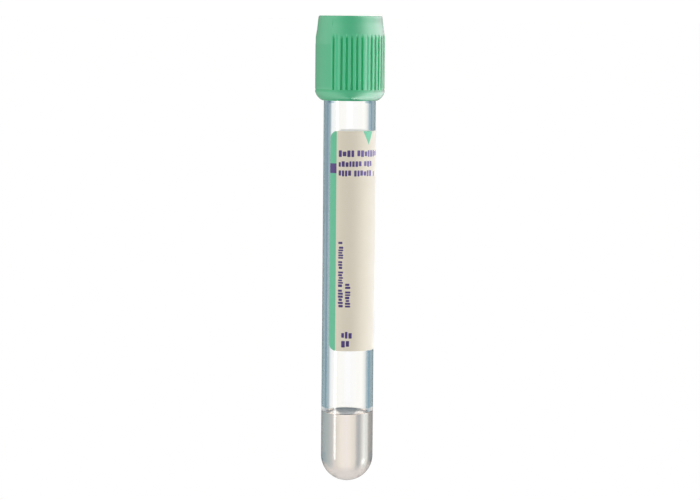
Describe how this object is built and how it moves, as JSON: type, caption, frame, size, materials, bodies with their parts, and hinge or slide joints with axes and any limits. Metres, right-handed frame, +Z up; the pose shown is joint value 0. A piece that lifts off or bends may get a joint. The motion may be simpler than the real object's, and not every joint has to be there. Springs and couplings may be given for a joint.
{
  "type": "blood collection tube",
  "caption": "Clear round-bottom blood collection tube with separator gel, a cream wrap label and a ribbed mint-green closure shield over a recessed rubber stopper.",
  "frame": {"origin": "centre of the closure's flat top, on the surface the tube stands on", "axes": "+Z is up and runs along the tube from the closure to the round bottom, -Y is the side the label's front faces, and -X is to the right of the label's front when the tube is turned closure up"},
  "size_m": [0.0164, 0.0164, 0.1107],
  "materials": {
    "clear_tube": "clear moulded polyester, polished, faintly blue-grey at its edges",
    "gel": "hazy, nearly colourless gel",
    "stopper_rubber": "dull moulded rubber",
    "shield_plastic": "satin moulded polypropylene, a little translucent",
    "label_face": "satin coated paper label, cream with a mint stripe"
  },
  "bodies": {
    "tube_body": {"tube": "clear_tube", "separator_gel": "gel", "label": "label_face"},
    "closure_body": {"closure_shield": "shield_plastic", "stopper": "stopper_rubber"}
  },
  "joints": [
    {"name": "closure_pull", "type": "slide", "parent": "closure_body", "child": "tube_body", "axis": [0, 0, 1], "range_m": [0, 0.03]}
  ]
}
